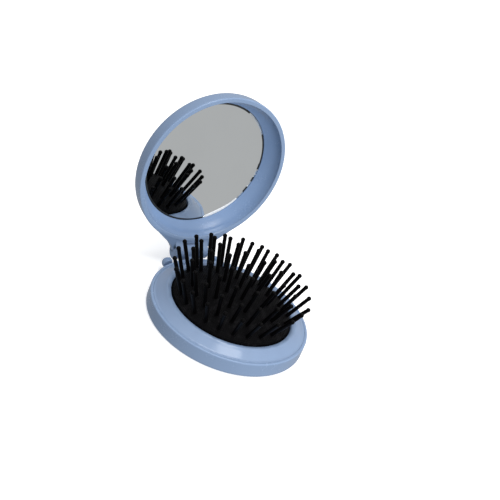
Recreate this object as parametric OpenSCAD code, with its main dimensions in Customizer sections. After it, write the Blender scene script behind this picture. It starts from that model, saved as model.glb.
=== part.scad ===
// Round folding hairbrush with a mirror in its lid.
// Millimetres, +Z up. The origin is the centre of the base's resting face.
// The hinge is at +Y with its axis along X, and the lid is drawn open.
// The pad is popped up. Closing the lid presses pad and bristles into the base.

/* [Base] */
// Radius of the base's outer wall
base_r = 35; // [34.8:0.1:35.2]
// Height of the outer wall's top edge
wall_h = 7.0; // [6.9:0.1:7.0]
// Thickness of the floor
floor_t = 0.8; // [0.6:0.1:0.8]
// Radius of the finger hole in the floor, used to pop the pad up
finger_r = 9; // [8.8:0.1:9.4]
// Radius of the opening in the top ring
open_r = 26.5; // [26.4:0.1:26.8]
// Height of the top ring's crown
crown_z = 10.0; // [9.9:0.1:10.1]

/* [Pad] */
// Height of the popped-up pad's middle
pad_top = 18.8; // [18.7:0.1:18.9]
// Radius of the pad's dome
pad_r = 43; // [42.5:0.5:43.5]
// Thickness of the rubber
pad_t = 0.7; // [0.6:0.1:0.7]

/* [Bristles] */
// Radius of a bristle's shaft
shaft_r = 0.85; // [0.6:0.05:0.85]
// Radius of the ball on a bristle's tip
ball_r = 0.98; // [0.88:0.05:0.98]
// Radius of the flange that keeps a bristle in the pad
head_r = 1.0; // [0.9:0.05:1]

/* [Lid] */
// Radius of the lid's rim
lid_r = 35.2; // [35.0:0.1:35.4]
// Height of the closed lid's rim above the resting face
rim_z = 7.3; // [7.3:0.1:7.4]
// Depth of the mirror below the rim
mirror_d = 8.2; // [8.2:0.1:8.3]
// Radius of the mirror glass
mirror_r = 28.45; // [28:0.05:28.5]
// How far the lid stands open, in degrees from closed
lid_open = 95.3; // [30:0.1:95.3]

/* [Hinge] */
// Distance of the hinge axis behind the base's centre
hinge_y = 39.9; // [39.9:0.1:40.3]
// Height of the hinge axis
hinge_z = 7.2; // [7.1:0.1:7.2]
// Radius of the hinge barrels
barrel_r = 3.3; // [3.2:0.05:3.3]
// Radius of the hinge pin
pin_r = 1.0; // [0.9:0.05:1.1]
// Width of the base's tongue between the lid's two lugs
tongue_w = 6.2; // [6:0.1:6.2]
// Width over the lid's lugs
lug_w = 16.4; // [15.6:0.2:16.4]

/* [Hidden] */
fn_big = 180;
fn_small = 32;
blue = [0.62, 0.70, 0.87];
dark_blue = [0.50, 0.58, 0.76];
black = [0.07, 0.07, 0.08];

// Each row of bristles: number, azimuth of the first one, root radius, tip radius, tip height
row_1 = [6, 10.6, 7.0, 9.26, 31.38];
row_2 = [12, 14.7, 13.2, 16.84, 29.82];
row_3 = [18, 16.1, 19.0, 24.25, 27.40];
row_4 = [24, 0.6, 23.5, 30.39, 24.68];
center_tip = 31.43;

pad_cz = pad_top - pad_r;
mirror_z = rim_z + mirror_d;
seat_z = mirror_z + 1.6;
running = 0.06;

function dome_z(r) = pad_cz + sqrt(pad_r * pad_r - r * r);
// points on an arc from angle a0 to a1
function arc(c, r, a0, a1, n) = [for (i = [0:n]) let (a = a0 + (a1 - a0) * i / n) c + r * [cos(a), sin(a)]];

// ---------- base ----------

base_profile = concat(
    [[finger_r, 0]],
    arc([base_r - 1.15, 1.15], 1.15, -90, 0, 6),
    arc([base_r - 0.6, wall_h - 0.6], 0.6, 0, 90, 5),
    [[base_r - 1.3, wall_h], [base_r - 1.3, 5.0], [base_r - 2.0, 5.0], [base_r - 2.0, floor_t],
     [30, floor_t], [30, 5.6], [28.6, 5.6], [28.6, floor_t], [finger_r, floor_t]]);

module hinge_nub() {
    // rounded shoulder beside the lid's lug
    translate([10.9, 35.55, 4.5]) rotate([0, 90, 0]) cylinder(r = 2.35, h = 1.5, $fn = 48);
    translate([12.4, 35.55, 4.5]) sphere(r = 2.35, $fn = 48);
    translate([10.9, 31.5, 2.15]) cube([1.5, 4.05, 4.7]);
    translate([12.4, 31.5, 4.5]) rotate([-90, 0, 0]) cylinder(r = 2.35, h = 4.05, $fn = 48);
}

module base_shell() {
    color(blue) difference() {
        union() {
            rotate_extrude($fn = fn_big) polygon(base_profile);
            difference() {
                union() {
                    // tongue that carries the hinge pin
                    translate([-tongue_w / 2, 33, 2.6]) cube([tongue_w, hinge_y - 33, 4]);
                    translate([-tongue_w / 2, hinge_y, hinge_z]) rotate([0, 90, 0])
                        cylinder(r = barrel_r, h = tongue_w, $fn = 64);
                    hinge_nub();
                    mirror([1, 0, 0]) hinge_nub();
                }
                translate([0, 0, -1]) cylinder(r = base_r - 0.8, h = 20, $fn = fn_big);
            }
        }
        translate([-10, hinge_y, hinge_z]) rotate([0, 90, 0]) cylinder(r = pin_r + running, h = 20, $fn = 48);
    }
}

ring_profile = [
    [open_r, 7.75], [base_r - 3.6, 6.85], [base_r - 3.6, 5.8], [base_r - 1.95, 5.8], [base_r - 1.95, 5.05], [base_r - 1.4, 5.05],
    [base_r - 1.4, 6.82], [base_r - 1.52, 7.0], [base_r - 1.9, 7.08], [base_r - 2.3, 7.25], [base_r - 2.8, 7.58],
    [31.4, 8.12], [30.6, 8.66], [29.8, crown_z - 0.8], [29.2, crown_z - 0.42], [28.7, crown_z - 0.17], [28.1, crown_z - 0.03],
    [27.6, crown_z], [open_r + 0.6, crown_z - 0.1], [open_r + 0.25, crown_z - 0.32], [open_r + 0.05, crown_z - 0.65], [open_r, crown_z - 1]];

module top_ring() {
    color(blue) difference() {
        rotate_extrude($fn = fn_big) polygon(ring_profile);
        // seat for the pad's flange
        translate([0, 0, 6]) cylinder(r = 30.4, h = 1.75, $fn = fn_big);
    }
}

module pad_clamp_ring() {
    color(dark_blue) rotate_extrude($fn = fn_big)
        polygon([[27.2, 5.65], [30.2, 5.65], [30.2, 6.82], [27.2, 6.82]]);
}

// ---------- pad and bristles ----------

skirt_profile = [[25.0, dome_z(25.0)], [25.5, 10.45], [25.85, 10.1], [26.05, 9.6], [26.1, 9.1], [26.1, 7.7],
                 [30.2, 7.7], [30.2, 6.88], [25.4, 6.88], [25.4, 9.0], [25.0, dome_z(25.0) - 0.85]];

module dome_shell(r_out, r_in, cut_r) {
    difference() {
        intersection() {
            translate([0, 0, pad_cz]) sphere(r = r_out, $fn = fn_big);
            translate([0, 0, 5]) cylinder(r = cut_r, h = 20, $fn = fn_big);
        }
        translate([0, 0, pad_cz]) sphere(r = r_in, $fn = fn_big);
    }
}

// puts its children at a bristle's root, with +Z along the bristle
module at_root(root_r, tip_r, tip_z, az) {
    rotate([0, 0, az]) translate([root_r, 0, dome_z(root_r)])
        rotate([0, atan2(tip_r - root_r, tip_z - dome_z(root_r)), 0]) children();
}

module bristle(root_r, tip_r, tip_z, az) {
    len = norm([tip_r - root_r, tip_z - dome_z(root_r)]);
    at_root(root_r, tip_r, tip_z, az) {
        translate([0, 0, -pad_t - 0.2]) cylinder(r = shaft_r, h = len - ball_r + pad_t + 0.2, $fn = fn_small);
        translate([0, 0, len - ball_r]) sphere(r = ball_r, $fn = fn_small);
        translate([0, 0, -pad_t - 0.32]) cylinder(r = head_r, h = 0.2, $fn = fn_small);
    }
}

module row(spec, from, to) {
    for (i = [from:to]) bristle(spec[2], spec[3], spec[4], spec[1] + 360 / spec[0] * i);
}

module row_holes(spec) {
    for (i = [0:spec[0] - 1])
        at_root(spec[2], spec[3], spec[4], spec[1] + 360 / spec[0] * i)
            translate([0, 0, -2]) cylinder(r = shaft_r + running, h = 4, $fn = fn_small);
}

module head_pocket() {
    translate([0, 0, -pad_t - 0.35]) cylinder(r = head_r + 0.12, h = 2, $fn = fn_small);
}

module cushion_pad() {
    color(black) difference() {
        union() {
            dome_shell(pad_r, pad_r - pad_t, 25.02);
            rotate_extrude($fn = fn_big) polygon(skirt_profile);
        }
        translate([0, 0, pad_top - 3]) cylinder(r = shaft_r + running, h = 6, $fn = fn_small);
        row_holes(row_1);
        row_holes(row_2);
        row_holes(row_3);
        row_holes(row_4);
    }
}

module push_plate() {
    color(dark_blue) difference() {
        dome_shell(pad_r - pad_t - 0.1, pad_r - pad_t - 0.9, 8.6);
        translate([0, 0, pad_top]) head_pocket();
        for (i = [0:5]) at_root(row_1[2], row_1[3], row_1[4], row_1[1] + 60 * i) head_pocket();
    }
}

module bristle_center() { color(black) bristle(0, 0, center_tip, 0); }
module bristles_row_1() { color(black) row(row_1, 0, 5); }
module bristles_row_2() { color(black) row(row_2, 0, 11); }
module bristles_row_3_left() { color(black) row(row_3, 4, 12); }
module bristles_row_3_right() { color(black) row(row_3, -5, 3); }
// the outer row is made of eight groups of three
module outer_group(k) { color(black) row(row_4, 3 * k - 1, 3 * k + 1); }

// ---------- lid, drawn closed and then swung open about the hinge ----------

module swung() {
    translate([0, hinge_y, hinge_z]) rotate([-lid_open, 0, 0]) translate([0, -hinge_y, -hinge_z]) children();
}

lid_profile = concat(
    [[0, seat_z], [29.75, seat_z], [30.12, 16.4], [30.75, 15.65], [31.55, 14.75], [32.33, 13.75], [33.0, 12.65], [33.4, 11.0], [33.4, 8.2], [33.15, 8.2]],
    arc([33.55, rim_z + 0.4], 0.4, 180, 270, 5),
    arc([lid_r - 0.8, rim_z + 0.8], 0.8, 270, 360, 6),
    [[34.65, 13.0], [34.4, 13.8], [33.8, 14.6], [33.0, 15.5], [32.2, 16.35], [31.4, 17.1], [30.4, 17.75],
     [29.3, 18.15], [28, 18.4], [24, 18.6], [20, 18.75], [15, 18.88], [10, 18.97], [5, 19.0], [0, 19.0]]);

// half outline of the neck between the lid's wall and its lugs
neck_side = [[19.4, 29.0], [18.2, 30.2], [16.8, 31.3], [15.2, 32.6], [13.4, 34.0], [11.7, 35.4], [10.2, 36.9], [9.1, 38.3],
             [8.4, 39.3], [lug_w / 2, hinge_y]];

module neck_half() {
    linear_extrude(height = barrel_r) polygon(concat([[0, 29.0]], neck_side, [[0, hinge_y]]));
}

module lid_shell() {
    color(blue) swung() difference() {
        union() {
            rotate_extrude($fn = fn_big) polygon(lid_profile);
            difference() {
                translate([0, 0, rim_z]) union() {
                    neck_half();
                    mirror([1, 0, 0]) neck_half();
                }
                translate([0, 0, 5]) cylinder(r = 34, h = 20, $fn = fn_big);
            }
            translate([-lug_w / 2, hinge_y, hinge_z]) rotate([0, 90, 0]) cylinder(r = barrel_r, h = lug_w, $fn = 64);
        }
        // gap for the base's tongue
        translate([-tongue_w / 2 - 0.3, hinge_y - barrel_r - 0.3, hinge_z - 5]) cube([tongue_w + 0.6, 12, 10]);
        // the pin goes in from the right, and the left lug's end is closed
        translate([-lug_w / 2 + 0.6, hinge_y, hinge_z]) rotate([0, 90, 0]) cylinder(r = pin_r + 0.02, h = 30, $fn = 48);
    }
}

module mirror_frame() {
    color(blue) swung() rotate_extrude($fn = fn_big)
        polygon([[33.1, 8.25], [33.0, 9.0], [32.75, 10.2], [32.3, 11.4], [31.65, 12.5], [30.9, 13.45], [30.1, 14.3], [29.4, 15.0],
                 [mirror_r + 0.3, mirror_z - 0.1], [mirror_r + 0.3, seat_z - 0.05], [29.6, seat_z - 0.05], [30.0, 16.3], [30.6, 15.6],
                 [31.4, 14.7], [32.2, 13.7], [32.9, 12.6], [33.3, 11.0], [33.35, 8.25]]);
}

module mirror_glass() {
    color([0.75, 0.78, 0.80]) swung() rotate_extrude($fn = fn_big)
        polygon([[0, mirror_z], [mirror_r - 0.9, mirror_z], [mirror_r, mirror_z + 0.35], [mirror_r, mirror_z + 1.2], [0, mirror_z + 1.2]]);
}

module mirror_tape() {
    color([0.9, 0.9, 0.88]) swung() translate([0, 0, mirror_z + 1.22]) cylinder(r = 25, h = 0.35, $fn = fn_big);
}

module hinge_pin() {
    color([0.75, 0.75, 0.77]) translate([-lug_w / 2 + 0.8, hinge_y, hinge_z]) rotate([0, 90, 0])
        cylinder(r = pin_r, h = lug_w - 1, $fn = 48);
}

base_shell();
top_ring();
pad_clamp_ring();
cushion_pad();
push_plate();
bristle_center();
bristles_row_1();
bristles_row_2();
bristles_row_3_left();
bristles_row_3_right();
outer_group(0);  // bristles_row_4_a
outer_group(1);  // bristles_row_4_b
outer_group(2);  // bristles_row_4_c
outer_group(3);  // bristles_row_4_d
outer_group(4);  // bristles_row_4_e
outer_group(5);  // bristles_row_4_f
outer_group(6);  // bristles_row_4_g
outer_group(7);  // bristles_row_4_h
hinge_pin();
lid_shell();
mirror_frame();
mirror_glass();
mirror_tape();
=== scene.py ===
"""Looks of the round folding hairbrush with a mirror in its lid. Lengths are in millimetres until mesh_object() makes metres."""

import math

import bmesh
import bpy
import numpy as np
from mathutils import Matrix, Vector


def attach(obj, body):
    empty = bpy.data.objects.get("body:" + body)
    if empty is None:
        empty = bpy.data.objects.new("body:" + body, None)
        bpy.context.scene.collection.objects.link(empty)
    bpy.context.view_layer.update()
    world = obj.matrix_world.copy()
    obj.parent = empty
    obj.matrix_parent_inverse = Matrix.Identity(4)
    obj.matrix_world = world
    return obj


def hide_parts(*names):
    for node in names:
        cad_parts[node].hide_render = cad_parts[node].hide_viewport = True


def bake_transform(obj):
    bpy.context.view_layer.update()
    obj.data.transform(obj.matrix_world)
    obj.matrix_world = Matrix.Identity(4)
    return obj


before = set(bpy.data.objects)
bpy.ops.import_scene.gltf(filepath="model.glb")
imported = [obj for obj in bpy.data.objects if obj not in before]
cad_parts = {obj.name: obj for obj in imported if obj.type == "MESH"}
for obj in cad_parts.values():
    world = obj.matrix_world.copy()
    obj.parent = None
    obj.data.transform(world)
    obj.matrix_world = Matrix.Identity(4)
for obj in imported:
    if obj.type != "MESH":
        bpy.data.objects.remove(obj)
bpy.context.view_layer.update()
scene = bpy.context.scene

# ---------- dimensions shared with the construction ----------
BASE_R, WALL_H, FLOOR_T, FINGER_R, OPEN_R = 35.0, 7.0, 0.8, 9.0, 26.5
PAD_TOP, PAD_R, PAD_T = 18.8, 43.0, 0.7
PAD_CZ = PAD_TOP - PAD_R
LID_R, RIM_Z, MIRROR_Z, MIRROR_R = 35.2, 7.3, 15.5, 28.45
HINGE = np.array([0.0, 39.9, 7.2])
OPEN = math.radians(-95.3)
BARREL_R, PIN_R, TONGUE_HW, LUG_HW = 3.3, 1.0, 3.1, 8.2
SHAFT_R, BALL_R, CENTER_TIP = 0.85, 0.98, 31.43
# number, azimuth of the first, root radius, tip radius, tip height
ROW_1 = (6, 10.6, 7.0, 9.26, 31.38)
ROW_2 = (12, 14.7, 13.2, 16.84, 29.82)
ROW_3 = (18, 16.1, 19.0, 24.25, 27.40)
ROW_4 = (24, 0.6, 23.5, 30.39, 24.56)
# bristles that lean a little: their number in the row, and how far the tip is out and around
LEAN = {
    1: {1: (0.0, -0.2), 2: (-0.1, -0.5), 5: (0.4, 0.7)},
    2: {0: (0.2, -0.3), 1: (0.5, -0.4), 2: (0.3, -0.1), 3: (0.6, 0.4), 4: (0.1, -0.2), 6: (0.2, 0.3), 8: (-0.2, 0.2), 9: (0.1, -0.3), 11: (-0.9, 1.0)},
    3: {0: (0.2, 0.1), 1: (0.5, -0.1), 2: (0.6, -1.2), 3: (0.3, 0.5), 4: (0.5, -0.3), 5: (0.5, -0.6), 6: (0.1, -0.7), 7: (-0.5, 0.3),
        8: (0.1, 0.2), 9: (-0.2, -0.3), 11: (0.2, 0.3), 12: (-0.1, -0.2), 14: (0.6, -0.6), 15: (-1.2, -0.5), 16: (-0.3, -0.3), 17: (-0.2, -0.1)},
    4: {0: (-0.4, 0.1), 1: (0.1, 0.0), 2: (0.1, -0.5), 3: (0.1, -0.9), 4: (0.15, 0.2), 5: (0.1, 0.7), 6: (0.1, -0.4), 7: (0.1, 0.0),
        8: (0.1, 0.4), 9: (-0.2, -0.5), 10: (0.0, 0.1), 12: (-0.2, 0.2), 13: (0.1, -0.3), 15: (-0.2, 0.3), 17: (0.1, -0.2), 19: (-0.1, 0.3),
        20: (-0.8, 0.5), 21: (0.0, -1.4), 22: (-0.7, -0.3), 23: (-0.7, 0.0)}}


def dome_z(r):
    return PAD_CZ + math.sqrt(PAD_R * PAD_R - r * r)


# ---------- mesh helpers ----------
def swung(v):
    """From the closed lid's place to the open lid's."""
    v = np.asarray(v, float) - HINGE
    c, s = math.cos(OPEN), math.sin(OPEN)
    return np.c_[v[:, 0], c * v[:, 1] - s * v[:, 2], s * v[:, 1] + c * v[:, 2]] + HINGE


def rounded(corners, seg=5, support=0.14):
    """Closed outline through corners (a, b, radius), with arcs at the corners and a support point beside each arc."""
    out = []
    n = len(corners)
    for i in range(n):
        p = np.array(corners[i][:2], float)
        before = np.array(corners[i - 1][:2], float) - p
        after = np.array(corners[(i + 1) % n][:2], float) - p
        l0, l1 = np.linalg.norm(before), np.linalg.norm(after)
        radius = corners[i][2]
        if radius <= 0:
            out.append(p)
            continue
        d0, d1 = before / l0, after / l1
        half = math.acos(max(-1.0, min(1.0, float(d0 @ d1)))) / 2
        reach = min(radius / math.tan(half), 0.46 * l0, 0.46 * l1)
        radius = reach * math.tan(half)
        bis = d0 + d1
        if np.linalg.norm(bis) < 1e-6 or half > math.radians(89.4):
            out.append(p)
            continue
        centre = p + bis / np.linalg.norm(bis) * radius / math.sin(half)
        a, b = p + d0 * reach, p + d1 * reach
        pad = min(support, 0.25 * l0 - 0.5 * reach) if 0.25 * l0 > 0.5 * reach + 0.02 else 0
        if pad > 0.02:
            out.append(a + d0 * pad)
        va, vb = a - centre, b - centre
        turn = math.atan2(va[0] * vb[1] - va[1] * vb[0], va @ vb)
        for k in range(seg + 1):
            t = turn * k / seg
            out.append(centre + np.array([va[0] * math.cos(t) - va[1] * math.sin(t), va[0] * math.sin(t) + va[1] * math.cos(t)]))
        pad = min(support, 0.25 * l1 - 0.5 * reach) if 0.25 * l1 > 0.5 * reach + 0.02 else 0
        if pad > 0.02:
            out.append(b + d1 * pad)
    return [tuple(q) for q in out]


def spline(points, n):
    """n + 1 points on a smooth curve through the given (a, b) points."""
    p = np.array(points, float)
    s = np.r_[0, np.cumsum(np.linalg.norm(np.diff(p, axis=0), axis=1))]
    m = np.gradient(p, s, axis=0)
    out = []
    for x in np.linspace(0, s[-1], n + 1):
        i = min(max(int(np.searchsorted(s, x, side="right")) - 1, 0), len(s) - 2)
        h = s[i + 1] - s[i]
        t = (x - s[i]) / h
        out.append((2 * t**3 - 3 * t**2 + 1) * p[i] + (t**3 - 2 * t**2 + t) * h * m[i]
                   + (-2 * t**3 + 3 * t**2) * p[i + 1] + (t**3 - t**2) * h * m[i + 1])
    return [tuple(q) for q in out]


def lathe(profile, n=224, closed=True, phase=0.0):
    """Verts and faces of a (radius, height) profile turned about Z. A point at radius 0 becomes one vertex."""
    verts, faces, rings = [], [], []
    a = np.arange(n) * 2 * math.pi / n + phase
    for r, z in profile:
        if abs(r) < 1e-6:
            rings.append([len(verts)])
            verts.append((0.0, 0.0, z))
        else:
            rings.append(list(range(len(verts), len(verts) + n)))
            verts.extend(zip(r * np.cos(a), r * np.sin(a), [z] * n))
    pairs = list(zip(rings, rings[1:])) + ([(rings[-1], rings[0])] if closed else [])
    for p, q in pairs:
        for i in range(n):
            j = (i + 1) % n
            if len(p) > 1 and len(q) > 1:
                faces.append((p[i], p[j], q[j], q[i]))
            elif len(p) > 1:
                faces.append((p[i], p[j], q[0]))
            elif len(q) > 1:
                faces.append((p[0], q[j], q[i]))
    return np.array(verts, float), faces


def slab(outline, z0, z1, edge=0.4, seg=4):
    """A plate over a closed outline, with its top and bottom edges rounded over. The outline's own corners are already round."""
    p = np.array(outline, float)
    d = np.roll(p, -1, 0) - p
    d /= np.linalg.norm(d, axis=1)[:, None]
    area = 0.5 * np.sum(p[:, 0] * np.roll(p[:, 1], -1) - p[:, 1] * np.roll(p[:, 0], -1))
    normal = np.c_[d[:, 1], -d[:, 0]] * (1 if area > 0 else -1)
    nv = normal + np.roll(normal, 1, 0)
    nv /= np.linalg.norm(nv, axis=1)[:, None]
    stretch = 1 / np.clip(np.sum(nv * normal, axis=1), 0.5, 1)
    levels = [(edge + 0.08, z0)] + [(edge * (1 - math.sin(t)), z0 + edge * (1 - math.cos(t))) for t in np.linspace(0, math.pi / 2, seg + 1)]
    levels += [(edge * (1 - math.cos(t)), z1 - edge * (1 - math.sin(t))) for t in np.linspace(0, math.pi / 2, seg + 1)] + [(edge + 0.08, z1)]
    verts, faces, n = [], [], len(p)
    for inset, z in levels:
        q = p - nv * (inset * stretch)[:, None]
        verts.extend((x, y, z) for x, y in q)
    for k in range(len(levels) - 1):
        for i in range(n):
            j = (i + 1) % n
            faces.append((k * n + i, k * n + j, (k + 1) * n + j, (k + 1) * n + i))
    faces.append(tuple(range(n - 1, -1, -1)))
    faces.append(tuple(range((len(levels) - 1) * n, len(levels) * n)))
    return np.array(verts, float), faces


def along_x(v, x0=0.0):
    """Turns a mesh built about Z so that its axis lies along X through the hinge."""
    v = np.asarray(v, float)
    return np.c_[v[:, 2] + x0, v[:, 0], v[:, 1]] + [0, HINGE[1], HINGE[2]]


def joined(*parts):
    verts, faces, start = [], [], 0
    for v, f in parts:
        verts.append(np.asarray(v, float))
        faces.extend(tuple(i + start for i in face) for face in f)
        start += len(v)
    return np.vstack(verts), faces


def mark_edges(me):
    """Stores at each vertex how far its edges fall away from its normal: 0.5 where flat, more on an outer edge."""
    count, links = len(me.vertices), len(me.edges)
    co, normal, pair = np.empty(count * 3), np.empty(count * 3), np.empty(links * 2, int)
    me.vertices.foreach_get("co", co)
    me.vertices.foreach_get("normal", normal)
    me.edges.foreach_get("vertices", pair)
    co, normal, pair = co.reshape(-1, 3), normal.reshape(-1, 3), pair.reshape(-1, 2)
    d = co[pair[:, 1]] - co[pair[:, 0]]
    d /= np.maximum(np.linalg.norm(d, axis=1), 1e-9)[:, None]
    total, n = np.zeros((count, 3)), np.zeros(count)
    np.add.at(total, pair[:, 0], d)
    np.add.at(total, pair[:, 1], -d)
    np.add.at(n, pair.ravel(), 1)
    fall = np.arccos(np.clip(np.sum(normal * total, axis=1) / np.maximum(n, 1), -1, 1)) / math.pi
    around = fall.copy()
    np.add.at(around, pair[:, 0], fall[pair[:, 1]])
    np.add.at(around, pair[:, 1], fall[pair[:, 0]])
    layer = me.attributes.get("edge_fall") or me.attributes.new("edge_fall", "FLOAT", "POINT")
    layer.data.foreach_set("value", (around / (n + 1)).astype(np.float32))


def mesh_object(name, part, material, sharp=35.0):
    verts, faces = part
    me = bpy.data.meshes.new(name)
    me.from_pydata((np.asarray(verts) * 0.001).tolist(), [], [list(map(int, f)) for f in faces])
    me.validate()
    bm = bmesh.new()
    bm.from_mesh(me)
    bmesh.ops.recalc_face_normals(bm, faces=bm.faces)
    bm.to_mesh(me)
    bm.free()
    me.polygons.foreach_set("use_smooth", [True] * len(me.polygons))
    me.set_sharp_from_angle(angle=math.radians(sharp))
    me.update()
    mark_edges(me)
    ob = bpy.data.objects.new(name, me)
    scene.collection.objects.link(ob)
    for m in material if isinstance(material, (list, tuple)) else [material]:
        me.materials.append(m)
    return ob


def place(ob, body, slot, *nodes):
    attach(ob, body)
    if nodes:
        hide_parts(*nodes)
    return ob


# ---------- materials ----------
class Nodes:
    """A material's node tree with short calls."""

    def __init__(self, name):
        self.material = bpy.data.materials.new(name)
        self.material.use_nodes = True
        self.tree = self.material.node_tree
        self.shader = self.tree.nodes["Principled BSDF"]
        self.place = self.add("ShaderNodeTexCoord").outputs["Object"]

    def add(self, kind, **settings):
        node = self.tree.nodes.new(kind)
        for key, value in settings.items():
            setattr(node, key, value)
        return node

    def link(self, a, b):
        self.tree.links.new(a, b)

    def noise(self, scale, detail=3.0, rough=0.5, at=None):
        node = self.add("ShaderNodeTexNoise")
        node.inputs["Scale"].default_value = scale
        node.inputs["Detail"].default_value = detail
        node.inputs["Roughness"].default_value = rough
        self.link(at or self.place, node.inputs["Vector"])
        return node.outputs["Fac"]

    def stretched(self, x, y, z):
        node = self.add("ShaderNodeMapping")
        node.inputs["Scale"].default_value = (x, y, z)
        self.link(self.place, node.inputs["Vector"])
        return node.outputs["Vector"]

    def spread(self, value, low, high, to_low, to_high):
        node = self.add("ShaderNodeMapRange")
        self.link(value, node.inputs["Value"])
        for key, v in (("From Min", low), ("From Max", high), ("To Min", to_low), ("To Max", to_high)):
            node.inputs[key].default_value = v
        return node.outputs["Result"]

    def math(self, what, a, b=None):
        node = self.add("ShaderNodeMath", operation=what)
        for socket, v in zip(node.inputs, (a, b)):
            if v is None:
                continue
            if isinstance(v, (int, float)):
                socket.default_value = v
            else:
                self.link(v, socket)
        return node.outputs[0]

    def blend(self, fac, a, b, how="MIX"):
        node = self.add("ShaderNodeMix", data_type="RGBA", blend_type=how)
        if isinstance(fac, (int, float)):
            node.inputs["Factor"].default_value = fac
        else:
            self.link(fac, node.inputs["Factor"])
        for key, v in (("A", a), ("B", b)):
            socket = [s for s in node.inputs if s.name == key and s.type == "RGBA"][0]
            if isinstance(v, (tuple, list)):
                socket.default_value = (*v, 1.0)
            else:
                self.link(v, socket)
        return [s for s in node.outputs if s.type == "RGBA"][0]

    def bump(self, height, distance, strength=1.0, after=None):
        node = self.add("ShaderNodeBump")
        node.inputs["Distance"].default_value = distance
        node.inputs["Strength"].default_value = strength
        self.link(height, node.inputs["Height"])
        if after is not None:
            self.link(after, node.inputs["Normal"])
        return node.outputs["Normal"]

    def to(self, **sockets):
        for key, v in sockets.items():
            socket = self.shader.inputs[key.replace("_", " ")]
            if isinstance(v, (int, float)):
                socket.default_value = v
            elif isinstance(v, (tuple, list)):
                socket.default_value = (*v, 1.0)
            else:
                self.link(v, socket)
        return self.material


def shell_plastic(name, light, dark, rough=0.24, seed=0.0):
    """Satin moulded plastic: cloudy colour, faint flow lines, fine surface texture and rubbed edges."""
    m = Nodes(name)
    cloud = m.noise(38.0 + seed, 4.0, 0.55)
    flow = m.noise(60.0, 2.0, 0.5, m.stretched(0.35, 1.0, 2.6))
    colour = m.blend(m.spread(cloud, 0.3, 0.7, 0.0, 1.0), light, dark)
    colour = m.blend(m.spread(flow, 0.35, 0.75, 0.0, 0.10), colour, tuple(min(1.0, c * 1.12) for c in light))
    specks = m.noise(1900.0, 1.0, 0.4)
    colour = m.blend(m.spread(specks, 0.66, 0.78, 0.0, 0.16), colour, tuple(c * 0.82 for c in dark))
    edge = m.add("ShaderNodeAttribute", attribute_name="edge_fall").outputs["Fac"]
    colour = m.blend(m.spread(edge, 0.52, 0.60, 0.0, 0.22), colour, tuple(min(1.0, c * 1.25 + 0.03) for c in light))
    fine = m.noise(1500.0, 2.0, 0.6)
    wide = m.noise(140.0, 3.0, 0.6)
    r = m.math("ADD", m.spread(fine, 0.3, 0.7, rough - 0.035, rough + 0.035), m.spread(wide, 0.35, 0.7, -0.02, 0.035))
    normal = m.bump(wide, 0.00004, 0.5)
    normal = m.bump(fine, 0.000003, 0.8, normal)
    return m.to(Base_Color=colour, Roughness=r, Normal=normal, IOR=1.5)


SHELL_LIGHT, SHELL_DARK = (0.234, 0.331, 0.505), (0.220, 0.315, 0.486)
shell = shell_plastic("periwinkle_plastic", SHELL_LIGHT, SHELL_DARK)
shell_dish = shell_plastic("periwinkle_dish_plastic", (0.213, 0.322, 0.528), (0.200, 0.306, 0.508), 0.24, 5.0)
shell_ring = shell_plastic("periwinkle_ring_plastic", (0.232, 0.322, 0.487), (0.218, 0.306, 0.468), 0.13, 3.0)
shell_inner = shell_plastic("inner_plastic", (0.17, 0.245, 0.40), (0.155, 0.23, 0.38), 0.30, 9.0)


def pad_rubber():
    """Black rubber with a fabric texture moulded in: a plain weave of 0.62 mm cells, whose raised crowns carry a
    painted highlight.
    """
    m = Nodes("woven_black_rubber")
    axes = m.add("ShaderNodeSeparateXYZ")
    m.link(m.place, axes.inputs[0])
    cell = 0.00062
    wander = m.noise(220.0, 2.0)
    u = m.math("ADD", m.math("DIVIDE", axes.outputs["X"], cell), m.spread(wander, 0.3, 0.7, -0.18, 0.18))
    v = m.math("ADD", m.math("DIVIDE", axes.outputs["Y"], cell), m.spread(wander, 0.3, 0.7, 0.18, -0.18))
    over = m.math("MODULO", m.math("ADD", m.math("ABSOLUTE", m.math("FLOOR", u)), m.math("ABSOLUTE", m.math("FLOOR", v))), 2.0)
    warp = m.math("ABSOLUTE", m.math("SINE", m.math("MULTIPLY", u, math.pi)))
    weft = m.math("ABSOLUTE", m.math("SINE", m.math("MULTIPLY", v, math.pi)))
    height = m.math("ADD", m.math("MULTIPLY", warp, over), m.math("MULTIPLY", weft, m.math("SUBTRACT", 1.0, over)))
    dust = m.noise(900.0, 3.0, 0.65)
    # painted highlight: the raised thread crowns are coloured lighter than the hollows between them
    colour = m.blend(m.spread(height, 0.35, 1.0, 0.0, 1.0), (0.0014, 0.0014, 0.0018), (0.0046, 0.0044, 0.0051))
    colour = m.blend(m.spread(dust, 0.62, 0.74, 0.0, 0.4), colour, (0.028, 0.028, 0.030))
    worn = m.math("MULTIPLY", m.spread(height, 0.75, 0.98, 0.0, 1.0), m.spread(m.noise(330.0, 2.0), 0.52, 0.66, 0.0, 0.75))
    colour = m.blend(worn, colour, (0.020, 0.0195, 0.0215))
    grain = m.noise(5200.0, 2.0)
    r = m.math("SUBTRACT", m.spread(grain, 0.3, 0.7, 0.56, 0.66), m.spread(height, 0.6, 1.0, 0.0, 0.16))
    normal = m.bump(height, 0.00012, 1.0)
    normal = m.bump(grain, 0.00001, 0.5, normal)
    return m.to(Base_Color=colour, Roughness=r, Normal=normal, IOR=1.52, Specular_IOR_Level=0.04)


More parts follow.
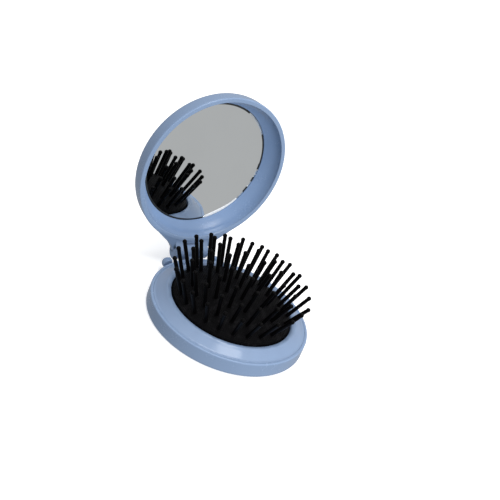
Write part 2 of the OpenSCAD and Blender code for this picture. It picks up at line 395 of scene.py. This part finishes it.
def bristle_nylon():
    """Black nylon: fine lines along the draw, a satin gloss that varies, and a little dust."""
    m = Nodes("black_nylon")
    cloud = m.noise(420.0, 3.0, 0.6)
    lines = m.noise(700.0, 2.0, 0.6, m.stretched(3.0, 3.0, 0.25))
    colour = m.blend(m.spread(cloud, 0.3, 0.7, 0.0, 1.0), (0.0014, 0.0014, 0.0016), (0.0028, 0.0026, 0.0030))
    colour = m.blend(m.spread(m.noise(2600.0, 2.0), 0.70, 0.80, 0.0, 0.3), colour, (0.025, 0.025, 0.025))
    r = m.math("ADD", m.spread(lines, 0.3, 0.7, 0.30, 0.42), m.spread(cloud, 0.3, 0.7, -0.03, 0.05))
    return m.to(Base_Color=colour, Roughness=r, Normal=m.bump(lines, 0.00002, 0.6), IOR=1.53, Specular_IOR_Level=0.045)


def silvered_glass():
    """Mirror: silver under glass, with a faint haze and a few wipe marks in its gloss."""
    m = Nodes("silvered_glass")
    haze = m.noise(55.0, 4.0, 0.6)
    wipes = m.noise(90.0, 3.0, 0.55, m.stretched(1.0, 0.4, 5.0))
    r = m.math("ADD", m.spread(haze, 0.45, 0.75, 0.004, 0.018), m.spread(wipes, 0.62, 0.75, 0.0, 0.012))
    colour = m.blend(m.spread(haze, 0.3, 0.75, 0.0, 1.0), (0.870, 0.902, 0.912), (0.850, 0.880, 0.890))
    # the glass isn't quite flat: it leans back a little and turns up at its right edge
    coord = m.add("ShaderNodeTexCoord")
    centre = swung([[0.0, 0.0, MIRROR_Z]])[0] * 0.001
    upward = swung([[0.0, -1.0, 0.0]])[0] - swung([[0.0, 0.0, 0.0]])[0]
    arm = m.add("ShaderNodeVectorMath", operation="SUBTRACT")
    m.link(m.place, arm.inputs[0])
    arm.inputs[1].default_value = tuple(centre)
    size = m.add("ShaderNodeVectorMath", operation="LENGTH")
    m.link(arm.outputs["Vector"], size.inputs[0])
    unit = m.add("ShaderNodeVectorMath", operation="NORMALIZE")
    m.link(arm.outputs["Vector"], unit.inputs[0])
    turn = m.add("ShaderNodeVectorMath", operation="SCALE")
    m.link(unit.outputs["Vector"], turn.inputs[0])
    toward = m.add("ShaderNodeVectorMath", operation="DOT_PRODUCT")
    m.link(unit.outputs["Vector"], toward.inputs[0])
    toward.inputs[1].default_value = tuple(0.98 * (swung([[1.0, 0.0, 0.0]])[0] - swung([[0.0, 0.0, 0.0]])[0]) + 0.1 * upward)
    amount = m.math("MULTIPLY", m.spread(size.outputs["Value"], 0.0243, 0.0278, 0.0, -0.105), m.spread(toward.outputs["Value"], 0.0, 0.7, 0.0, 1.0))
    m.link(amount, turn.inputs["Scale"])
    lean = m.add("ShaderNodeVectorMath", operation="ADD")
    m.link(turn.outputs["Vector"], lean.inputs[0])
    lean.inputs[1].default_value = tuple(upward * 0.0122)
    total = m.add("ShaderNodeVectorMath", operation="ADD")
    m.link(coord.outputs["Normal"], total.inputs[0])
    m.link(lean.outputs["Vector"], total.inputs[1])
    world_normal = m.add("ShaderNodeVectorTransform", vector_type="NORMAL", convert_from="OBJECT", convert_to="WORLD")
    m.link(total.outputs["Vector"], world_normal.inputs["Vector"])
    return m.to(Base_Color=colour, Roughness=r, Metallic=1.0, Normal=world_normal.outputs["Vector"])


def polished_edge():
    """The mirror's polished edge, which catches the light in chips."""
    m = Nodes("polished_glass_edge")
    chips = m.noise(1500.0, 2.0, 0.7)
    colour = m.blend(m.spread(chips, 0.4, 0.6, 0.0, 1.0), (0.93, 0.95, 0.95), (0.70, 0.76, 0.76))
    return m.to(Base_Color=colour, Roughness=m.spread(chips, 0.3, 0.7, 0.04, 0.16), Metallic=1.0, Normal=m.bump(chips, 0.00014, 0.8))


def painted_glint_edge():
    """White painted highlight on arcs of the mirror's lip, where it glints: white, with fine pits."""
    m = Nodes("painted_edge_glint")
    pits = m.noise(2600.0, 3.0, 0.6)
    colour = m.blend(m.spread(pits, 0.35, 0.65, 0.0, 1.0), (0.97, 0.98, 0.98), (0.86, 0.89, 0.90))
    return m.to(Base_Color=colour, Roughness=m.spread(pits, 0.3, 0.7, 0.22, 0.40), Normal=m.bump(pits, 0.00004, 0.7), Specular_IOR_Level=0.9)


def glass_side_and_shade():
    """The cut side and painted back of the mirror glass; the same dark paint is the painted shade on the dark arcs of
    the lip.
    """
    m = Nodes("mirror_backing_and_painted_shade")
    n = m.noise(500.0, 3.0)
    colour = m.blend(m.spread(n, 0.3, 0.7, 0.0, 1.0), (0.010, 0.012, 0.013), (0.03, 0.034, 0.035))
    return m.to(Base_Color=colour, Roughness=m.spread(n, 0.3, 0.7, 0.35, 0.6), Normal=m.bump(n, 0.00003, 0.5))


def drawn_steel():
    """Drawn steel pin: fine lines along its length."""
    m = Nodes("drawn_steel")
    lines = m.noise(2400.0, 3.0, 0.6, m.stretched(0.05, 1.0, 1.0))
    stain = m.noise(300.0, 3.0)
    colour = m.blend(m.spread(stain, 0.35, 0.7, 0.0, 1.0), (0.60, 0.60, 0.60), (0.50, 0.50, 0.51))
    return m.to(Base_Color=colour, Roughness=m.spread(lines, 0.3, 0.7, 0.22, 0.40), Metallic=1.0, Normal=m.bump(lines, 0.00001, 0.7))


def foam_tape():
    """White foam tape with open cells."""
    m = Nodes("foam_tape")
    cells = m.add("ShaderNodeTexVoronoi")
    cells.inputs["Scale"].default_value = 2600.0
    m.link(m.place, cells.inputs["Vector"])
    d = cells.outputs["Distance"]
    colour = m.blend(m.spread(d, 0.1, 0.6, 0.0, 1.0), (0.62, 0.61, 0.57), (0.78, 0.77, 0.73))
    return m.to(Base_Color=colour, Roughness=m.spread(d, 0.0, 0.7, 0.75, 0.95), Normal=m.bump(d, 0.00006, 0.8))


rubber, nylon, silver, glass_edge, painted_glint, backing_and_shade, steel, tape = (
    pad_rubber(), bristle_nylon(), silvered_glass(), polished_edge(), painted_glint_edge(), glass_side_and_shade(), drawn_steel(), foam_tape())

for node, material in (("pad_clamp_ring", shell_inner), ("push_plate", shell_inner), ("mirror_tape", tape)):
    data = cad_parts[node].data
    data.materials.clear()
    data.materials.append(material)

# ---------- base ----------
base_wall = lathe(rounded([
    (FINGER_R, 0, 0.25), (BASE_R, 0, 1.15), (BASE_R, WALL_H, 0.6), (BASE_R - 1.3, WALL_H, 0.12), (BASE_R - 1.3, 5.0, 0.05),
    (BASE_R - 2.0, 5.0, 0.1), (BASE_R - 2.0, FLOOR_T, 0.3), (30.0, FLOOR_T, 0.2), (30.0, 5.6, 0.15), (28.6, 5.6, 0.15),
    (28.6, FLOOR_T, 0.2), (FINGER_R, FLOOR_T, 0.3)], seg=6))


def tongue():
    """The base's hinge tongue: a plate that ends in the barrel round the pin."""
    circle = [(HINGE[1] + BARREL_R * math.cos(a), HINGE[2] + BARREL_R * math.sin(a))
              for a in np.radians(np.linspace(-62, 184, 56))]
    outline = [(33.75, 2.6), (35.6, 2.6), (37.6, 2.62), (39.0, 2.78), (40.3, 3.35), *circle]
    outline += [(36.3, 6.62), (35.7, 6.6), (33.75, 6.6)]
    v, f = slab(outline, -TONGUE_HW, TONGUE_HW, 0.3, 4)
    return np.c_[v[:, 2], v[:, 0], v[:, 1]], f


def capsule(side):
    """Rounded shoulder beside the lid's lug, grown out of the wall."""
    verts, faces = [], []
    rows, cols = 28, 48
    for i in range(rows + 1):
        t = math.pi * i / rows
        for k in range(cols):
            a = 2 * math.pi * k / cols
            n = np.array([math.cos(t), math.sin(t) * math.cos(a), math.sin(t) * math.sin(a)])
            x = 12.4 + 2.35 * n[0] if n[0] >= 0 else 11.35 + 0.45 * n[0]
            y = 35.55 + 2.35 * n[1] if n[1] >= 0 else 34.2 + 0.3 * n[1]
            verts.append((side * x, y, 4.5 + 2.35 * n[2]))
    for i in range(rows):
        for k in range(cols):
            j = (k + 1) % cols
            faces.append((i * cols + k, i * cols + j, (i + 1) * cols + j, (i + 1) * cols + k))
    return np.array(verts), faces


base = place(mesh_object("base_case", joined(base_wall, tongue(), capsule(1), capsule(-1)), shell), "base", "shell", "base_shell")
weld = bmesh.new()
weld.from_mesh(base.data)
bmesh.ops.remove_doubles(weld, verts=weld.verts, dist=1e-7)
weld.to_mesh(base.data)
weld.free()
mark_edges(base.data)

# the crowned ring: a step beside the wall, a soft slope up to the crown, and a bevel down into the opening
slope = spline([(33.5, 7.04), (33.3, 7.07), (33.05, 7.10), (32.7, 7.25), (32.2, 7.58), (31.4, 8.12), (30.6, 8.66), (29.8, 9.2), (29.4, 9.5),
                (29.0, 9.78), (28.7, 9.92), (28.35, 9.97), (27.95, 9.94), (27.5, 9.84), (27.1, 9.7), (26.84, 9.5), (26.68, 9.2), (26.62, 8.85)], 64)
ring_profile = ([(33.66, 5.3), (33.66, 6.8), (33.64, 6.94), (33.58, 7.01)] + slope
                + [(26.62, 7.85), (26.7, 7.75), (30.3, 7.75), (30.4, 7.65), (30.4, 6.9), (31.4, 6.85), (31.4, 5.8), (33.05, 5.8), (33.05, 5.05),
                   (33.55, 5.05)])
place(mesh_object("crowned_ring", lathe(ring_profile), shell_ring, 30), "base", "shell", "top_ring")

# ---------- pad ----------
ROWS = (ROW_1, ROW_2, ROW_3, ROW_4)


def bristle_frame(root_r, tip_r, tip_z, azimuth):
    """Root point, axis, length and two cross directions of a bristle."""
    a = math.radians(azimuth)
    radial, around = np.array([math.cos(a), math.sin(a), 0]), np.array([-math.sin(a), math.cos(a), 0])
    root = radial * root_r + [0, 0, dome_z(root_r)]
    tip = radial * tip_r + [0, 0, tip_z]
    axis = (tip - root) / np.linalg.norm(tip - root)
    return root, axis, float(np.linalg.norm(tip - root)), np.cross(around, axis), around


def set_along(part, root, axis, across, around):
    v, f = part
    return v[:, :1] * across + v[:, 1:2] * around + v[:, 2:] * axis + root, f


def all_bristles():
    yield 0.0, 0.0, CENTER_TIP, 0.0
    for n, first, root_r, tip_r, tip_z in ROWS:
        for i in range(n):
            yield root_r, tip_r, tip_z, first + 360.0 / n * i


outer = [(0.0, PAD_TOP)] + [(r, dome_z(r)) for r in np.linspace(0.5, 24.9, 62)]
skirt = spline([(24.9, dome_z(24.9)), (25.3, 10.58), (25.65, 10.3), (25.92, 9.92), (26.07, 9.4), (26.1, 8.7), (26.1, 7.72)], 14)[1:]
flange = [(26.2, 7.7), (30.1, 7.7), (30.2, 7.6), (30.2, 6.98), (30.1, 6.88), (25.5, 6.88), (25.4, 6.98), (25.4, 8.9)]
inner = [(r, PAD_CZ + math.sqrt((PAD_R - PAD_T) ** 2 - r * r)) for r in np.linspace(24.9, 0.5, 40)] + [(0.0, PAD_TOP - PAD_T)]
membrane = lathe(outer + skirt + flange + inner, 240, closed=False)
collar = lathe([(0.78, -0.45), (0.78, 0.10), (0.84, 0.18), (0.96, 0.20), (1.10, 0.16), (1.28, 0.07), (1.5, 0.0), (1.72, -0.08), (1.3, -0.45)], 24)
parts = [membrane]
for spec in all_bristles():
    root, axis, _, across, around = bristle_frame(*spec)
    up = root - [0, 0, PAD_CZ]
    up = up / np.linalg.norm(up)
    side = np.cross(around, up)
    parts.append(set_along(collar, root - up * 0.02, up, side, around))
pad = mesh_object("cushion_membrane", joined(*parts), rubber, 40)
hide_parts("cushion_pad")
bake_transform(pad)
radius = np.array([math.hypot(v.co.x, v.co.y) * 1000 for v in pad.data.vertices])
height = np.array([v.co.z * 1000 for v in pad.data.vertices])
share = np.interp(radius, [0, 8.6, 13.2, 19.0, 23.5, 25.2, 26.1], [1, 1, 14.54 / 16.15, 12.12 / 16.15, 9.5 / 16.15, 0.17, 0])
share[height < 9.4] = np.where(radius[height < 9.4] > 24.9, 0.0, share[height < 9.4])


# ---------- bristles ----------
def bristle(root_r, tip_r, tip_z, azimuth, out=0.0, around=0.0):
    """Flanged root, gently tapered shaft, necked ball tip. The tip leans by the last two lengths."""
    root, axis, length, across, side = bristle_frame(root_r, tip_r, tip_z, azimuth)
    a = math.radians(azimuth)
    tip = root + axis * length + out * np.array([math.cos(a), math.sin(a), 0]) + around * np.array([-math.sin(a), math.cos(a), 0])
    length = float(np.linalg.norm(tip - root))
    axis = (tip - root) / length
    across = np.cross(side, axis)
    across /= np.linalg.norm(across)
    side = np.cross(axis, across)
    c = length - BALL_R
    prof = [(0, -1.02), (0.90, -1.02), (0.97, -1.00), (1.0, -0.95), (1.0, -0.88), (0.97, -0.83), (0.88, -0.82), (0.86, -0.78),
            (0.855, 0.0), (0.85, 0.6), (0.85, 3.0), (0.84, c * 0.55), (0.83, c - 2.0), (0.815, c - 1.2), (0.81, c - 0.75)]
    for t in np.linspace(-33, 90, 12):
        prof.append((max(0.0, BALL_R * math.cos(math.radians(t))) if t < 89 else 0.0, c + BALL_R * math.sin(math.radians(t))))
    return set_along(lathe(prof, 20, closed=False), root, axis, across, side)


def row(number, first, last):
    n, a0, root_r, tip_r, tip_z = ROWS[number - 1]
    return [bristle(root_r, tip_r, tip_z, a0 + 360.0 / n * i, *LEAN[number].get(i % n, (0.0, 0.0))) for i in range(first, last + 1)]


groups = [("pin_center", [bristle(0.0, 0.0, CENTER_TIP, 0.0)], "pad_core", "bristle_center"),
          ("pins_row_1", row(1, 0, 5), "pad_core", "bristles_row_1"),
          ("pins_row_2", row(2, 0, 11), "bristle_row_2", "bristles_row_2"),
          ("pins_row_3_left", row(3, 4, 12), "bristle_row_3", "bristles_row_3_left"),
          ("pins_row_3_right", row(3, -5, 3), "bristle_row_3", "bristles_row_3_right")]
groups += [("pins_row_4_" + k, row(4, 3 * i - 1, 3 * i + 1), "bristle_row_4_" + k, "bristles_row_4_" + k)
           for i, k in enumerate("abcdefgh")]
for name, pins, body, node in groups:
    place(mesh_object(name, joined(*pins), nylon, 50), body, "bristle", node)

# ---------- lid, built closed and swung open ----------
back = spline([(35.2, 8.15), (35.12, 9.1), (35.0, 10.3), (34.84, 11.7), (34.65, 13.0), (34.4, 13.85), (33.85, 14.65), (33.05, 15.5), (32.2, 16.3),
               (31.3, 17.05), (30.35, 17.68), (29.3, 18.12), (28, 18.4), (24, 18.6), (20, 18.75), (15, 18.88), (10, 18.97), (5, 19.0), (0.6, 19.0)], 70)
rim = rounded([(33.4, 7.8, 0.0), (33.15, 7.8, 0.03), (33.15, RIM_Z, 0.4), (LID_R, RIM_Z, 0.8), (LID_R, 8.4, 0.05), (LID_R - 0.6, 8.4, 0)], seg=7)[:-3]
inside = [(33.4, 11.0), (33.0, 12.65), (32.33, 13.75), (31.55, 14.75), (30.75, 15.65), (30.12, 16.4), (29.75, 17.05), (29.6, 17.1), (0.6, 17.1), (0.0, 17.1)]
lid_wall = lathe([(0.0, 19.0)] + back[::-1] + rim[::-1] + inside, closed=False)


def eased(v):
    """Rolls the rim's inner edge over more softly where it meets the neck."""
    v = np.array(v, float)
    r, turn = np.hypot(v[:, 0], v[:, 1]), np.degrees(np.arctan2(v[:, 1], v[:, 0]))
    w = np.clip((62 - abs(turn - 90)) / 40, 0, 1)
    w = w * w * (3 - 2 * w)
    t = np.clip((r - 33.15) / 1.15, 0, 1)
    near = np.clip((9.5 - v[:, 2]) / 1.8, 0, 1) * (r > 32.8) * (r < 34.3)
    v[:, 2] += 0.75 * w * (1 - t) ** 2 * near
    return v


def neck():
    """The plate that joins the lid's wall to its lugs, with its inner edge hidden in the wall."""
    side = spline([(19.4, 29.0), (18.2, 30.2), (16.8, 31.3), (15.2, 32.6), (13.4, 34.0), (11.7, 35.4), (10.2, 36.9), (9.1, 38.3), (8.4, 39.3), (8.2, 40.1)], 34)
    slot = rounded([(8.2, 40.4, 0.0), (3.4, 40.4, 0.0), (3.4, 36.3, 0.35), (-3.4, 36.3, 0.35), (-3.4, 40.4, 0.0), (-8.2, 40.4, 0.0)], 5, 0.1)
    a0 = math.degrees(math.atan2(28.2, 19.2))
    arc = [(34.12 * math.cos(math.radians(a)), 34.12 * math.sin(math.radians(a))) for a in np.linspace(180 - a0, a0, 44)]
    outline = side + slot + [(-x, y) for x, y in side[::-1]] + arc
    return slab(outline, RIM_Z + 0.02, RIM_Z + BARREL_R, 0.3, 4)


def gusset(x0, x1):
    """The hollow slope from the neck's face down to a lug."""
    hollow = spline([(34.5, 7.33), (35.0, 7.24), (35.5, 7.02), (36.0, 6.68), (36.5, 6.22), (36.9, 5.78), (37.14, 5.44)], 18)
    v, f = slab(hollow + [(38.6, 6.6), (38.6, 8.6), (34.5, 8.6)], x0, x1, 0.3, 4)
    return np.c_[v[:, 2], v[:, 0], v[:, 1]], f


def left_lug():
    """A hinge lug with a closed end and a blind hole for the pin."""
    v, f = lathe(rounded([(0.0, -LUG_HW, 0.0), (BARREL_R, -LUG_HW, 0.35), (BARREL_R, -3.4, 0.35), (PIN_R + 0.03, -3.4, 0.12),
                          (PIN_R + 0.03, -LUG_HW + 0.6, 0.1), (0.0, -LUG_HW + 0.6, 0.0)], 5), 72, closed=False)
    return along_x(v), f


def right_lug():
    """A hinge lug that the pin goes in through."""
    v, f = lathe(rounded([(PIN_R + 0.03, 3.4, 0.12), (BARREL_R, 3.4, 0.35), (BARREL_R, LUG_HW, 0.35), (PIN_R + 0.03, LUG_HW, 0.12)], 5), 72)
    return along_x(v), f


lid_parts = [(eased(lid_wall[0]), lid_wall[1]), neck(), gusset(-LUG_HW, -3.4), gusset(3.4, LUG_HW), left_lug(), right_lug()]
v, f = joined(*lid_parts)
place(mesh_object("lid_case", (swung(v), f), shell), "lid", "shell", "lid_shell")

# the dish between the rim and the mirror
cove = spline([(33.15, 7.95), (33.12, 8.5), (33.0, 9.2), (32.75, 10.25), (32.3, 11.4), (31.65, 12.5), (30.9, 13.45), (30.1, 14.3), (29.5, 14.9), (29.12, 15.2)], 44)
cone = ([(33.14, 7.84)] + cove + [(29.03, 15.3), (28.99, 15.4), (28.98, 15.7), (28.98, 16.95), (29.06, 17.05), (29.5, 17.05), (29.6, 17.0), (30.0, 16.3),
                                  (30.6, 15.6), (31.4, 14.7), (32.2, 13.7), (32.9, 12.6), (33.3, 11.0), (33.38, 9.5), (33.38, 7.84)])
v, f = lathe(cone)
v = eased(v)
place(mesh_object("mirror_dish", (swung(v), f), shell_dish), "lid", "shell", "mirror_frame")


def mirror():
    """Flat silvered face, a raised polished lip with small chips, and the painted back. Arcs of the lip carry painted
    shade (dark) and a painted highlight (white).
    """
    n = 720
    rng = np.random.default_rng(7)
    wobble = np.convolve(np.tile(rng.normal(0, 1, n), 3), np.ones(5) / 5, "same")[n:2 * n]
    chips = (rng.random(n) < 0.10) * rng.uniform(0.04, 0.14, n)
    a = np.arange(n) * 2 * math.pi / n
    # where the lip carries painted shade (dark arcs) and a painted highlight (white arcs); azimuths on the closed lid
    turn = np.degrees(a)
    # painted shade in dashes along the lower right of the lip, with painted glints on the chips between them
    shade_dashes = np.interp(np.sin(np.radians(turn * 30.0)) + 0.9 * wobble, [-0.1, 0.1], [0.0, 1.0]) > 0.5
    dark = ((turn > 74) & (turn < 170)) | ((turn > 264) & (turn < 300)) | (turn > 329) | (turn < 1) | ((turn < 37) & shade_dashes)
    # painted highlight: white on the arc from 38 to 73.5 degrees, and on the chips between the shade dashes
    white = ((turn > 38) & (turn < 73.5)) | ((turn < 37) & ~dark & (chips > 0))
    full = lambda v: np.full(n, float(v))
    inner = np.where(dark, np.where(turn < 37, 27.92, 28.14), np.where(white, 28.02 - 0.60 * np.clip(1.25 - abs(turn - 61) / 14, 0, 1), 28.22 + 0.02 * wobble - 0.5 * chips))
    rings = [(full(27.3), full(MIRROR_Z)), (inner, full(MIRROR_Z)),
             (inner + 0.10, np.where(dark, 15.46, 15.345 + 0.015 * wobble + 0.5 * chips)), (28.5 + 0.01 * wobble, np.where(dark, 15.45, 15.335)),
             (full(28.75), np.where(dark, 15.46, 15.38)), (full(28.92), full(15.5)), (full(28.92), full(16.6)),
             (full(28.35), full(16.7))]
    verts = [(0.0, 0.0, MIRROR_Z)]
    for r, z in rings:
        verts.extend(zip(r * np.cos(a), r * np.sin(a), z))
    verts.append((0.0, 0.0, 16.7))
    faces, kind = [], []
    for i in range(n):
        j = (i + 1) % n
        faces.append((0, 1 + i, 1 + j))
        kind.append(0)
        for k in range(len(rings) - 1):
            faces.append((1 + k * n + i, 1 + (k + 1) * n + i, 1 + (k + 1) * n + j, 1 + k * n + j))
            lip = 2 if dark[i] else 3 if white[i] else 1
            kind.append((0, lip, lip, lip, lip, 2, 2)[k])
        faces.append((1 + (len(rings) - 1) * n + i, len(verts) - 1, 1 + (len(rings) - 1) * n + j))
        kind.append(2)
    return (swung(verts), faces), kind


part, kind = mirror()
glass = mesh_object("mirror", part, [silver, glass_edge, backing_and_shade, painted_glint], 12)
glass.data.polygons.foreach_set("material_index", kind)
place(glass, "lid", "mirror", "mirror_glass")

# the pin: domed ends, just inside the lugs
x0, x1 = -LUG_HW + 0.8, LUG_HW - 0.2
dome = [(PIN_R * math.sin(t), 0.35 * math.cos(t)) for t in np.linspace(0, math.pi / 2, 9)]
pin = [(0.0, x0)] + [(r, x0 + 0.35 - z) for r, z in dome[1:]] + [(PIN_R, x) for x in np.linspace(x0 + 0.6, x1 - 0.6, 9)]
pin += [(r, x1 - 0.35 + z) for r, z in dome[:0:-1]] + [(0.0, x1)]
v, f = lathe(pin, 40, closed=False)
place(mesh_object("pivot_pin", (along_x(v), f), steel), "lid", "steel", "hinge_pin")

# ---------- stage ----------
floor_mat = Nodes("pale_floor")
floor_noise = floor_mat.noise(14.0, 3.0)
floor_colour = floor_mat.blend(floor_mat.spread(floor_noise, 0.3, 0.7, 0.0, 1.0), (0.93, 0.93, 0.93), (0.915, 0.915, 0.915))
floor_mat.to(Base_Color=floor_colour, Roughness=0.9, Emission_Color=(1.0, 1.0, 1.0), Emission_Strength=0.45)
me = bpy.data.meshes.new("floor")
me.from_pydata([(-6, -6, 0), (6, -6, 0), (6, 6, 0), (-6, 6, 0)], [], [(0, 1, 2, 3)])
me.materials.append(floor_mat.material)
floor = bpy.data.objects.new("floor", me)
scene.collection.objects.link(floor)
floor.visible_glossy = False
floor.visible_diffuse = False
floor.visible_shadow = False

# ---------- light ----------
world = bpy.data.worlds.new("studio")
scene.world = world
world.use_nodes = True
wt = world.node_tree
bg = wt.nodes["Background"]
tc = wt.nodes.new("ShaderNodeTexCoord")
sep = wt.nodes.new("ShaderNodeSeparateXYZ")
wt.links.new(tc.outputs["Generated"], sep.inputs[0])
ramp = wt.nodes.new("ShaderNodeValToRGB")
up = wt.nodes.new("ShaderNodeMapRange")
up.inputs["From Min"].default_value, up.inputs["From Max"].default_value = -1.0, 1.0
wt.links.new(sep.outputs["Z"], up.inputs["Value"])
wt.links.new(up.outputs["Result"], ramp.inputs["Fac"])
stops = [(0.0, 0.44), (0.46, 0.44), (0.53, 0.55), (0.75, 0.58), (0.90, 0.80), (0.97, 1.25), (1.0, 1.35)]
while len(ramp.color_ramp.elements) < len(stops):
    ramp.color_ramp.elements.new(0.5)
for e, (at, v) in zip(ramp.color_ramp.elements, stops):
    e.position, e.color = at, (v, v, v, 1.0)
dot = wt.nodes.new("ShaderNodeVectorMath")
dot.operation = "DOT_PRODUCT"
dot.inputs[1].default_value = (0.85, -0.45, 0.0)
wt.links.new(tc.outputs["Generated"], dot.inputs[0])
side = wt.nodes.new("ShaderNodeMapRange")
side.inputs["From Min"].default_value, side.inputs["From Max"].default_value = -1.0, 1.0
side.inputs["To Min"].default_value, side.inputs["To Max"].default_value = 0.78, 1.07
wt.links.new(dot.outputs["Value"], side.inputs["Value"])
wt.links.new(ramp.outputs["Color"], bg.inputs["Color"])
wt.links.new(side.outputs["Result"], bg.inputs["Strength"])


def area(name, at, to, size, size_y, power, colour=(1, 1, 1)):
    light = bpy.data.lights.new(name, "AREA")
    light.shape, light.size, light.size_y, light.energy, light.color = "RECTANGLE", size, size_y, power, colour
    ob = bpy.data.objects.new(name, light)
    ob.location = at
    ob.rotation_mode = "QUATERNION"
    ob.rotation_quaternion = (Vector(to) - Vector(at)).to_track_quat("-Z", "Y")
    scene.collection.objects.link(ob)
    return ob


# an overhead softbox: 0.44 m by 0.85 m, 1.25 m above
soft = area("softbox", (0.05, -0.12, 1.25), (0.05, -0.12, 0.0), 0.44, 0.85, 0.0)
soft.rotation_quaternion = Vector((0, 0, -1)).to_track_quat("-Z", "Y")
soft.data.energy = 4.25 * math.pi * 0.44 * 0.85

# a broad panel in front, to the right
panel = area("front_panel", (-0.02, -1.50, 0.65), (0.0, 0.0, 0.03), 1.1, 0.7, 14.8)
panel.visible_glossy = False

# light that comes back from the table
bounce = area("table_bounce", (0.0, 0.0, -0.06), (0.0, 0.0, 1.0), 1.6, 1.6, 0.0)
bounce.data.energy = 0.15 * math.pi * 1.6 * 1.6
bounce.visible_glossy = False

# ---------- camera ----------
forward = Vector((0.57254547, 0.64171059, -0.51029325))
right = Vector((0.81967648, -0.461647, 0.33913495))
upward = right.cross(forward)
cam_data = bpy.data.cameras.new("camera")
cam_data.sensor_width, cam_data.lens = 36.0, 1400.0 / 500.0 * 36.0
cam_data.clip_start, cam_data.clip_end = 0.01, 50.0
cam = bpy.data.objects.new("camera", cam_data)
scene.collection.objects.link(cam)
rot = Matrix((right.normalized(), upward.normalized(), (-forward).normalized())).transposed().to_4x4()
cam.matrix_world = Matrix.Translation((-0.330212, -0.366945, 0.330565)) @ rot
scene.camera = cam

scene.view_settings.view_transform = "Standard"
scene.view_settings.look = "None"
